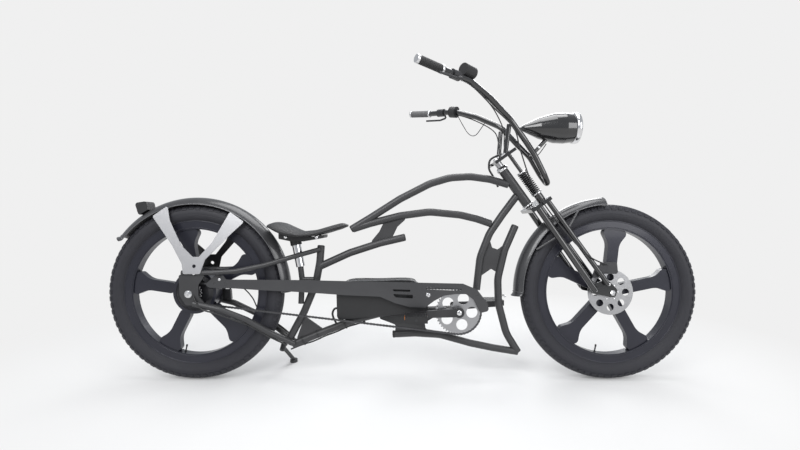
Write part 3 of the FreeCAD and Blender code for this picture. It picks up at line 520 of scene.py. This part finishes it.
# ---- Frame ----
# Bent and coped steel tubes in matte charcoal, with small plates let in where tubes part.
charcoal = wear("frame_charcoal", (0.036, 0.036, 0.038), 0.46, 0.15, 0.12, 1300, 0.10, 0.18)
for node in ("head_tube", "top_tube", "cruiser_tube", "front_tube", "keel_tube", "runner_tube",
             "lower_tube", "seat_mast", "middle_tube", "frame_webs", "belly_plate",
             "upper_stays", "chain_stays", "dropouts", "stand_bracket", "seat_tube",
             "bottom_bracket", "side_stand"):
    finish_node(node, charcoal)

# Headset cups of chromed steel are pressed into the ends of the head tube. Bolts hold the chain
# guard and the fender braces.
HEAD = np.array([0.417, 0, 0.837])
UP = np.array([-0.581, 0, 0.814])
AHEAD = np.array([0.814, 0, 0.581])


def on_steering(along, ahead, side=0.0):
    """A point along the steering axis from the upper cup, ahead of it and to the left."""
    return HEAD + UP * along + AHEAD * ahead + np.array([0, side, 0])


cup = [(0, 0.0145), (0, 0.0225), (0.004, 0.0240), (0.009, 0.0240), (0.012, 0.0215),
       (0.018, 0.0190), (0.018, 0.0145)]
parts = [lathe(on_steering(-0.001, 0), UP, cup, 48),
         lathe(on_steering(-0.168, 0), -UP, [(a * 0.62, r) for a, r in cup], 48)]
verts, faces = gather(parts)
add_piece("headset_cups", verts, faces, "frame", chrome.mat)
fixings("frame_bolts", "frame", [(0.421, s * 0.0151, 0.331, 0.0045, 0.002) for s in (-1, 1)]
        + [(0.110, -0.0631, 0.343, 0.0085, 0.002), (-0.706, -0.0631, 0.404, 0.006, 0.003),
           (-0.794, -0.0878, 0.430, 0.006, 0.003), (-0.794, 0.0878, 0.430, 0.006, 0.003)])

# Bungs close the cut ends of the free tubes.
cap_black = wear("black_bung", (0.012, 0.012, 0.013), 0.55)
ends = [((0.018, 0, 0.567), (1, 0, 0.22)), ((-0.319, 0, 0.531), (0.08, 0, 1)),
        ((-0.026, 0, 0.176), (-1, 0, -0.04)), ((-0.1945, 0, 0.601), (-0.85, 0, -0.5)),
        ((0.465, 0, 0.612), (0.4, 0, 0.92))]
bung = [(-0.004, 0), (-0.004, 0.0146), (0.001, 0.0146), (0.004, 0.0125), (0.0048, 0)]
verts, faces = gather([lathe(c, d, bung, 40) for c, d in ends])
add_piece("tube_bungs", verts, faces, "frame", cap_black.mat)

# ---- Fenders ----
# Rolled steel skins in satin dark grey with a folded edge bead. The right rear brace is pale
# satin grey, its own colour; the left one, on the far side, is painted near-black as painted
# shade.
fender_grey = wear("fender_satin", (0.050, 0.050, 0.053), 0.30, 0.25, 0.35, 800, 0.05, 0.12)
for node in ("rear_fender", "front_fender", "front_fender_braces", "chain_guard"):
    finish_node(node, fender_grey)
brace = Paint("brace_satin_far_painted_shade", (0.30, 0.30, 0.31), 0.34, 0.45, 0.2)
bx, by, bz = brace.place()
# Painted shade: braces below y -0.06 (the near, right side) keep pale grey, and all others are
# made near-black to stand for the far side's shadow.
brace.blend(by < -0.06, (0.012, 0.012, 0.013), (0.33, 0.33, 0.34))
brace.bump(brace.noise(900), 0.05, 0.0003)
finish_node("rear_fender_braces", brace)
CROWN = 0.378


def fender_section(samples, grow=0.0):
    """The shallow arch of a fender's outer skin as (across, radius), from edge to edge."""
    half, drop = 0.043, 0.028
    big = (half ** 2 + drop ** 2) / (2 * drop)
    limit = math.asin(half / big)
    t = np.linspace(-limit, limit, samples)
    return (big + grow) * np.sin(t), CROWN - big + (big + grow) * np.cos(t)


def edge_bead(axle, start, stop):
    """A round bead along both edges and both ends of a fender."""
    t = np.radians(np.linspace(start, stop, 90))
    across, radius = fender_section(13)
    paths = [np.stack([axle[0] + radius[0] * np.cos(t), np.full(90, s * across[-1]),
                       axle[2] + radius[0] * np.sin(t)], axis=1) for s in (-1, 1)]
    for a in np.radians([start, stop]):
        paths.append(np.stack([axle[0] + radius * np.cos(a), across,
                               axle[2] + radius * np.sin(a)], axis=1))
    return gather([pipe(path, 0.0021, 8) for path in paths])


fender_edge = wear("fender_edge", (0.12, 0.12, 0.125), 0.28, 0.5, 0.3, 800, 0.04, 0.1)
verts, faces = edge_bead(REAR, 0, 143)
add_piece("rear_fender_bead", verts, faces, "frame", fender_edge.mat)
verts, faces = edge_bead(FRONT, 93, 180)
add_piece("front_fender_bead", verts, faces, "fork", fender_edge.mat)

# A flared lip finishes the tail of each fender, curling away from the tyre.
for name, axle, angle, body in (("rear_tail_lip", REAR, 143, "frame"),
                                ("front_tail_lip", FRONT, 180, "fork")):
    across, radius = fender_section(25)
    run = np.linspace(0, 1, 8)
    flare = 0.010 * run ** 2
    spin = math.radians(angle) + 0.045 * run
    skins = []
    for depth in (0.0, -0.0016):
        r = radius[None] + flare[:, None] + depth
        skins.append(np.stack([axle[0] + r * np.cos(spin)[:, None],
                               np.broadcast_to(across, r.shape),
                               axle[2] + r * np.sin(spin)[:, None]], axis=-1))
    sheet = np.concatenate([skins[0], skins[1][:, ::-1]], axis=1)
    count = sheet.shape[1]
    faces = grid_faces(len(run), count).tolist()
    half = count // 2
    for row, flip in ((0, False), (len(run) - 1, True)):
        for i in range(half - 1):
            quad = [row * count + i, row * count + i + 1,
                    row * count + count - 2 - i, row * count + count - 1 - i]
            faces.append(quad[::-1] if flip else quad)
    add_piece(name, sheet.reshape(-1, 3), faces, body, fender_grey.mat)

# ---- Tail light ----
# A small black housing on the rear fender with a dark red ribbed lens facing back.
moulded = wear("moulded_black", (0.014, 0.014, 0.015), 0.48, 0, 0, 650, 0.16, 0.25)
for node in ("tail_light", "saddle_base", "battery", "bar_controls", "right_pedal",
             "left_pedal"):
    finish_node(node, moulded)
lens_red = Paint("lens_red", (0.16, 0.006, 0.006), 0.12, 0, 0.6)
lx, ly, lz = lens_red.place()
lens_red.bump((ly * 1500).sine() * (lz * 1500).sine(), 0.5, 0.0006)
verts, faces = lathe((-1.050, 0, 0.682), (-0.96, 0, 0.26),
                     [(0, 0), (0, 0.017), (0.004, 0.0165), (0.008, 0.011), (0.009, 0)], 40)
add_piece("tail_lens", verts, faces, "frame", lens_red.mat)

# ---- Battery ----
# A black moulded case between the lower tubes, with a bright bead round its upper cover and a
# thick lead that goes down into the lower tube.
rim_line = smooth_path([(-0.2495, 0, 0.350), (-0.205, 0, 0.3925), (-0.08, 0, 0.3965),
                        (0.04, 0, 0.3975), (0.070, 0, 0.380), (0.102, 0, 0.342)], 60)
beads = [pipe(rim_line + np.array([0, s * 0.0372, 0]), 0.0016, 8) for s in (-1, 1)]
verts, faces = gather(beads)
add_piece("battery_bead", verts, faces, "frame", fender_edge.mat)
lead_path = smooth_path([(-0.248, -0.018, 0.285), (-0.262, -0.019, 0.281),
                         (-0.270, -0.018, 0.265), (-0.268, -0.012, 0.246),
                         (-0.258, -0.004, 0.222), (-0.252, 0, 0.205)], 40)
verts, faces = pipe(lead_path, 0.0042, 12)
add_piece("battery_lead", verts, faces, "frame", cap_black.mat)

# ---- Saddle ----
# A scooped cruiser saddle: a foam pad under black grained leather, with piping along both
# edges. It narrows from a broad tail to a thin nose.
length_at = np.linspace(0, 1, 72)
keel_x = -0.513 + 0.302 * length_at
height_top = np.interp(length_at, [0, 0.05, 0.16, 0.27, 0.41, 0.60, 0.80, 0.94, 1],
                       [0.622, 0.631, 0.626, 0.610, 0.592, 0.598, 0.616, 0.627, 0.618])
height_low = np.interp(length_at, [0, 0.06, 0.17, 0.27, 0.52, 0.70, 0.95, 1],
                       [0.610, 0.602, 0.585, 0.576, 0.571, 0.580, 0.603, 0.612])
half_width = np.interp(length_at, [0, 0.05, 0.12, 0.25, 0.40, 0.60, 0.85, 0.96, 1],
                       [0.086, 0.112, 0.122, 0.121, 0.100, 0.062, 0.040, 0.034, 0.022])
kernel = np.hanning(11) / np.hanning(11).sum()


def soften(values):
    """Rounds a profile's corners with a short moving average."""
    return np.convolve(np.pad(values, 5, mode="edge"), kernel, "valid")


height_top, height_low, half_width = map(soften, (height_top, height_low, half_width))
around = np.linspace(0, 2 * math.pi, 64, endpoint=False)
SQUARENESS = 0.72
cos_a = np.sign(np.cos(around)) * np.abs(np.cos(around)) ** SQUARENESS
sin_a = np.sign(np.sin(around)) * np.abs(np.sin(around)) ** SQUARENESS
mid = (height_top + height_low) / 2
deep = (height_top - height_low) / 2
side_curve = cos_a[None] * half_width[:, None]
dip = 0.012 * (np.abs(side_curve) / 0.122) ** 2
verts = np.stack([np.broadcast_to(keel_x[:, None], side_curve.shape), side_curve,
                  mid[:, None] + deep[:, None] * sin_a[None] - dip * 0.8], axis=-1)
verts = np.concatenate([np.repeat(verts[:1].mean(axis=1, keepdims=True), 64, axis=1), verts,
                        np.repeat(verts[-1:].mean(axis=1, keepdims=True), 64, axis=1)])
leather = Paint("saddle_leather", (0.016, 0.016, 0.017), 0.52)
hide = leather.noise(30)
leather.blend(hide, (0.011, 0.011, 0.012), (0.030, 0.030, 0.032))
leather.rough(hide * 0.2 + 0.40)
leather.bump(leather.cells(420) * 1.4 + leather.noise(160) * 0.5, 0.55, 0.0012)
saddle = add_piece("saddle_cover", verts, grid_faces(74, 64)[:, ::-1], "frame",
                   leather.mat)
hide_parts("saddle_pad")
rim_parts = []
for side in (-1, 1):
    rim = np.stack([keel_x[2:-2], side * half_width[2:-2] * 0.995,
                    (mid - 0.0096 * (half_width / 0.122) ** 2)[2:-2]], axis=1)
    rim_parts.append(pipe(rim, 0.0030, 10))
verts, faces = gather(rim_parts)
add_piece("saddle_piping", verts, faces, "frame", leather.mat)

# The suspension post under it is covered by a ribbed rubber boot, with clamp knobs at its top.
boot_axis = np.array([-0.19, 0, 0.98])
s = np.linspace(0, 1, 49)
boot = np.stack([s * 0.074, 0.0155 + 0.0025 * np.cos(s * 12 * math.pi)], axis=1)
boot = np.vstack([[(0, 0.0092)], boot, [(0.074, 0.0092)]])
verts, faces = lathe((-0.4045, 0, 0.462), boot_axis, boot, 40)
add_piece("post_boot", verts, faces, "frame", cap_black.mat)
finish_node("seat_post", chrome)
knobs = [(-0.452, s * 0.0438, 0.5700, 0.008, 0.006) for s in (-1, 1)]
knobs += [(-0.330, s * 0.0438, 0.5690, 0.008, 0.006) for s in (-1, 1)]
fixings("saddle_knobs", "frame", knobs)

# ---- Fork ----
# A sprung girder fork in gloss black: fixed rear legs, front legs that carry a coil spring,
# rockers at the axle, and two flat crowns held by chromed bolts.
gloss = wear("fork_gloss", (0.012, 0.012, 0.013), 0.16, 0.1, 0.9, 1500, 0.02, 0.1)
for node in ("fork_crowns", "fork_rockers", "rear_fork_legs", "front_fork_legs", "risers",
             "handlebar", "headlight", "headlight_bracket", "spring_seat"):
    finish_node(node, gloss)
coil_turns = 12
s = np.linspace(0, 1, coil_turns * 28)
a = s * coil_turns * 2 * math.pi
along = -0.052 - 0.100 * s
helix = (HEAD + along[:, None] * UP + 0.057 * AHEAD
         + 0.0178 * (np.cos(a)[:, None] * AHEAD + np.sin(a)[:, None] * np.array([0, 1.0, 0])))
core = lathe(on_steering(-0.050, 0.057), -UP, [(0, 0), (0, 0.0105), (0.104, 0.0105), (0.104, 0)],
             32)
spring_paint = wear("spring_black", (0.020, 0.020, 0.022), 0.26, 0.6, 0.4)
verts, faces = gather([pipe(helix, 0.0031, 10), core])
spring = add_piece("coil_spring", verts, faces, "fork", spring_paint.mat)
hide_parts("fork_spring")
washer = [(0, 0.0105), (0, 0.0215), (0.0015, 0.0222), (0.0045, 0.0222), (0.006, 0.0215),
          (0.006, 0.0105)]
verts, faces = gather([lathe(on_steering(-0.0465, 0.057), -UP, washer, 40),
                       lathe(on_steering(-0.1505, 0.057), -UP, washer, 40)])
add_piece("spring_washers", verts, faces, "fork", chrome.mat)
crown_bolts = []
for along, ahead, side in ((0.050, 0.0, 0.0), (0.050, 0.057, 0.0), (0.050, 0.026, 0.058),
                           (0.050, 0.026, -0.058)):
    crown_bolts.append(lathe(on_steering(along, ahead, side), UP,
                             [(0, 0), (0, 0.011), (0.004, 0.011), (0.0075, 0.008), (0.009, 0)],
                             6 if side else 32))
verts, faces = gather(crown_bolts)
add_piece("crown_bolts", verts, faces, "fork", chrome.mat, smooth=False)
fixings("rocker_bolts", "fork",
        [(x, s * 0.0708, z, 0.0065, 0.003) for x, z in ((0.763, 0.363), (0.813, 0.386))
         for s in (-1, 1)])
dark_alloy = wear("dark_alloy", (0.055, 0.055, 0.058), 0.36, 0.7, 0.1)
for node in ("brake_levers", "front_caliper", "rear_caliper", "crank_arms"):
    finish_node(node, dark_alloy)
crank_caps = [lathe((CRANK[0], s * 0.0802, CRANK[2]), (0, s, 0),
                    [(0, 0), (0, 0.0105), (0.003, 0.0105), (0.005, 0.007), (0.0055, 0)], 32)
              for s in (-1, 1)]
verts, faces = gather(crank_caps)
add_piece("crank_caps", verts, faces, "crank", chrome.mat)

# ---- Pedals ----
# Moulded pedals with a ribbed tread on each side and amber reflectors front and back.
amber = Paint("reflector_amber", (0.55, 0.16, 0.01), 0.2, 0, 0.5)
ax, ay, az = amber.place()
amber.bump((ax * 2200).sine() * (ay * 2200).sine(), 0.5, 0.0005)
for side, name in ((-1, "right_pedal"), (1, "left_pedal")):
    tilt = math.radians(3)
    centre = np.array([CRANK[0] + side * 0.170 * math.cos(tilt), side * 0.132,
                       CRANK[2] + side * 0.170 * math.sin(tilt)])
    ribs = []
    for flip in (-1, 1):
        for k in np.linspace(-0.034, 0.034, 7):
            row = np.array([[0, -0.040, 0], [0, 0.040, 0]]) + centre
            row += np.array([k, 0, flip * 0.0108])
            ribs.append(pipe(np.linspace(row[0], row[1], 12), 0.0017, 8))
    verts, faces = gather(ribs)
    add_piece(name + "_ribs", verts, faces, name + "_body", moulded.mat)
    glass = []
    for flip in (-1, 1):
        glass.append(lathe(centre + np.array([flip * 0.0418, 0, 0]), (flip, 0, 0),
                           [(0, 0), (0, 0.010), (0.0015, 0.0095), (0.002, 0)], 4))
    verts, faces = gather(glass)
    verts = (verts - centre) * np.array([1, 3.2, 0.9]) + centre
    add_piece(name + "_reflectors", verts, faces, name + "_body", amber.mat,
              smooth=False)

# ---- Bars, grips and levers ----
# One bent bar drops into a loop ahead of the spring. Ribbed rubber grips with chromed ends
# slide over it: the right one is black and the left one grey.
grip_rubber = Paint("grip_rubber", (0.018, 0.018, 0.019), 0.55)
gx, gy, gz = grip_rubber.place()
grip_rubber.blend(gy > 0.0, (0.018, 0.018, 0.019), (0.115, 0.115, 0.118))
grip_rubber.bump(grip_rubber.cells(700) + grip_rubber.noise(300), 0.35, 0.0006)
for side, word in ((-1, "right"), (1, "left")):
    inner = np.array([0.144, side * 0.300, 1.141])
    outer = np.array([0.052, side * 0.367, 1.155])
    reach = np.linalg.norm(outer - inner)
    s = np.linspace(0.008, reach - 0.010, 150)
    ribs = 0.0139 + 0.0011 * np.tanh(2.5 * np.cos(s * 2 * math.pi / 0.0075))
    profile = np.vstack([[(0.006, 0.0118)], np.stack([s, ribs], axis=1),
                         [(reach - 0.008, 0.0118)]])
    verts, faces = lathe(inner, outer - inner, profile, 48)
    grip = add_piece(word + "_grip", verts, faces, "fork", grip_rubber.mat)
    if side < 0:
        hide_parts("grips")
    ends = [lathe(inner, outer - inner, [(0, 0.0118), (0, 0.0158), (0.002, 0.0163),
                                         (0.006, 0.0163), (0.008, 0.0155), (0.008, 0.0118)], 48),
            lathe(inner, outer - inner, [(reach - 0.010, 0), (reach - 0.010, 0.0150),
                                         (reach - 0.007, 0.0155), (reach - 0.002, 0.0152),
                                         (reach, 0.0120), (reach + 0.0005, 0)], 48)]
    verts, faces = gather(ends)
    add_piece(word + "_grip_collars", verts, faces, "fork", chrome.mat)

# ---- Headlight ----
# A gloss black teardrop shell with a chromed bezel and a domed, fluted glass in front.
bezel = [(-0.020, 0.0575), (-0.018, 0.0622), (-0.006, 0.0625), (0.000, 0.0600),
         (0.001, 0.0540), (-0.006, 0.0530), (-0.016, 0.0540)]
verts, faces = lathe((0.716, 0, 1.008), (1, 0, 0), bezel, 80)
add_piece("lamp_bezel", verts, faces, "fork", chrome.mat)
t = np.linspace(0, math.pi / 2, 14)
glass_shape = np.vstack([[(0.0004, 0)], np.stack([0.0010 + 0.006 * np.sin(t),
                                                0.0540 * np.cos(t)], axis=1)])
lamp_glass = Paint("lamp_glass", (0.60, 0.63, 0.66), 0.06, 0.35, 1.0)
hx, hy, hz = lamp_glass.place()
lamp_glass.bump((hy * 900).sine(), 0.5, 0.0008)
verts, faces = lathe((0.716, 0, 1.008), (1, 0, 0), glass_shape, 80)
add_piece("lamp_glass", verts, faces, "fork", lamp_glass.mat)
fixings("lamp_bolts", "fork", [(0.560, s * 0.0075, 0.930, 0.006, 0.003) for s in (-1, 1)])

# ---- Cables ----
# Black outer cables run from the levers and controls to the calipers and into the frame, along
# the bar, the fork legs and the lower tube. Those on the fork end beside the head tube.
cable_skin = wear("cable_skin", (0.014, 0.014, 0.015), 0.42, 0, 0.1, 1500, 0.08)
runs = {
    "front_brake_cable": ([(0.190, -0.268, 1.130), (0.262, -0.205, 1.112),
                           (0.352, -0.128, 1.058), (0.440, -0.082, 0.990),
                           (0.470, -0.072, 0.900), (0.520, -0.078, 0.760),
                           (0.620, -0.088, 0.610), (0.720, -0.082, 0.505),
                           (0.790, -0.062, 0.468), (0.815, -0.046, 0.462)], 0.0026),
    "left_lever_cable": ([(0.190, 0.268, 1.130), (0.262, 0.206, 1.112), (0.345, 0.140, 1.064),
                          (0.405, 0.096, 1.010), (0.412, 0.050, 0.940),
                          (0.420, 0.024, 0.895)], 0.0024),
    "display_lead": ([(0.245, -0.214, 1.150), (0.292, -0.190, 1.095), (0.352, -0.140, 1.045),
                      (0.398, -0.085, 0.985), (0.412, -0.040, 0.930),
                      (0.420, -0.018, 0.893)], 0.0022),
    "lamp_lead": ([(0.596, 0.012, 0.948), (0.585, 0.018, 0.930), (0.566, 0.020, 0.905),
                   (0.545, 0.020, 0.890), (0.520, 0.014, 0.893)], 0.0018),
    "hanging_lead": ([(0.258, 0.212, 1.118), (0.280, 0.200, 1.070), (0.306, 0.180, 1.022),
                      (0.330, 0.150, 1.010), (0.356, 0.128, 1.042), (0.372, 0.120, 1.068)],
                     0.0017),
}
for name, (points, radius) in runs.items():
    verts, faces = pipe(smooth_path(points, 110), radius, 10)
    add_piece(name, verts, faces, "fork", cable_skin.mat)
frame_runs = {
    "lower_tube_cable": ([(-0.440, -0.004, 0.116), (-0.395, 0, 0.133), (-0.350, 0, 0.147),
                          (-0.303, 0, 0.168), (-0.255, 0, 0.186), (-0.215, 0, 0.204),
                          (-0.182, 0, 0.214), (-0.140, 0, 0.226)], 0.0030),
    "rear_caliper_cable": ([(-0.712, 0.060, 0.349), (-0.690, 0.062, 0.366),
                            (-0.655, 0.064, 0.352), (-0.618, 0.064, 0.312),
                            (-0.590, 0.060, 0.262), (-0.540, 0.054, 0.228),
                            (-0.480, 0.040, 0.190), (-0.435, 0.020, 0.160)], 0.0026),
    "motor_lead": ([(-0.800, -0.082, 0.346), (-0.786, -0.088, 0.322), (-0.760, -0.090, 0.292),
                    (-0.712, -0.088, 0.277), (-0.650, -0.080, 0.252), (-0.590, -0.068, 0.226),
                    (-0.515, -0.050, 0.178), (-0.450, -0.026, 0.138)], 0.0032),
}
for name, (points, radius) in frame_runs.items():
    verts, faces = pipe(smooth_path(points, 110), radius, 10)
    add_piece(name, verts, faces, "frame", cable_skin.mat)
loom = smooth_path([(0.405, 0.030, 0.905), (0.372, 0.032, 0.885), (0.366, 0.030, 0.850),
                    (0.378, 0.024, 0.822), (0.392, 0.019, 0.795), (0.400, 0.0165, 0.772)], 90)
verts, faces = pipe(loom, 0.0042, 12)
add_piece("steering_loom", verts, faces, "fork", cable_skin.mat)
ties = []
for x, z in ((-0.330, 0.176), (-0.222, 0.219), (-0.390, 0.153)):
    t = np.linspace(0, 2 * math.pi, 41)
    heading = np.array([0.92, 0, 0.39])
    d, u, w = axes_of(heading)
    loop = np.array([x, 0, z - 0.002]) + 0.0178 * (np.cos(t)[:, None] * u
                                                   + 1.12 * np.sin(t)[:, None] * w)
    ties.append(pipe(loop, 0.0012, 6))
verts, faces = gather(ties)
add_piece("cable_ties", verts, faces, "frame", cable_skin.mat)

# ---- Stage ----
# A plain pale floor that keeps the shadow, soft lamps on stands, and a near, wide camera that
# leans with the machine.
floor_mesh = bpy.data.meshes.new("floor")
floor_mesh.from_pydata([(-14, -14, 0), (14, -14, 0), (14, 14, 0), (-14, 14, 0)], [],
                       [(0, 1, 2, 3)])
floor = bpy.data.objects.new("floor", floor_mesh)
bpy.context.scene.collection.objects.link(floor)
PALE = (0.871, 0.871, 0.871)
ground = Paint("floor_pale", (0.70, 0.70, 0.70), 0.9)
fx, fy, fz = ground.place()
far = ((fx * fx * 0.45 + fy * fy).root() * 1.1 - 0.45).clamp(0.0, 1.0)
tone = ground.tree.nodes.new("ShaderNodeEmission")
tone.inputs[0].default_value = (*PALE, 1)
fade = ground.tree.nodes.new("ShaderNodeMixShader")
ground.tree.links.new(far.link, fade.inputs[0])
ground.tree.links.new(ground.shader.outputs[0], fade.inputs[1])
ground.tree.links.new(tone.outputs[0], fade.inputs[2])
ground.tree.links.new(fade.outputs[0], ground.tree.nodes["Material Output"].inputs[0])
floor.data.materials.append(ground.mat)
world = bpy.data.worlds.new("studio")
bpy.context.scene.world = world
world.use_nodes = True
tree = world.node_tree
back = tree.nodes["Background"]
path_node = tree.nodes.new("ShaderNodeLightPath")
mixer = tree.nodes.new("ShaderNodeMixShader")
seen = tree.nodes.new("ShaderNodeBackground")
seen.inputs[0].default_value = (*PALE, 1)
back.inputs[0].default_value = (0.85, 0.88, 0.92, 1)
back.inputs[1].default_value = 0.60
either = tree.nodes.new("ShaderNodeMath")
either.operation = "MAXIMUM"
tree.links.new(path_node.outputs["Is Camera Ray"], either.inputs[0])
tree.links.new(path_node.outputs["Is Transmission Ray"], either.inputs[1])
tree.links.new(either.outputs[0], mixer.inputs[0])
tree.links.new(back.outputs[0], mixer.inputs[1])
tree.links.new(seen.outputs[0], mixer.inputs[2])
tree.links.new(mixer.outputs[0], tree.nodes["World Output"].inputs[0])
for name, place, aim, side, watts in (
        ("key", (-1.6, -2.8, 3.2), (0, 0, 0.5), 2.2, 95),
        ("fill", (2.6, -2.4, 1.8), (0.2, 0, 0.5), 2.0, 50),
        ("top", (0.2, 0.4, 3.6), (0, 0, 0.4), 2.6, 80),
        ("rim", (1.2, 3.0, 2.2), (0, 0, 0.6), 1.8, 45)):
    lamp = bpy.data.lights.new(name, "AREA")
    lamp.size = side
    lamp.energy = watts
    stand = bpy.data.objects.new(name, lamp)
    stand.location = place
    stand.rotation_euler = (Vector(aim) - Vector(place)).to_track_quat("-Z", "Y").to_euler()
    bpy.context.scene.collection.objects.link(stand)

eye = bpy.data.cameras.new("eye")
eye.lens = 20.02
eye.sensor_width = 36
camera = bpy.data.objects.new("camera", eye)
camera.matrix_world = (LEAN @ Matrix.Translation((0, -1.8, 0.617))
                       @ Matrix.Rotation(math.pi / 2, 4, "X"))
bpy.context.scene.collection.objects.link(camera)
bpy.context.scene.camera = camera
bpy.context.scene.view_settings.view_transform = "Standard"
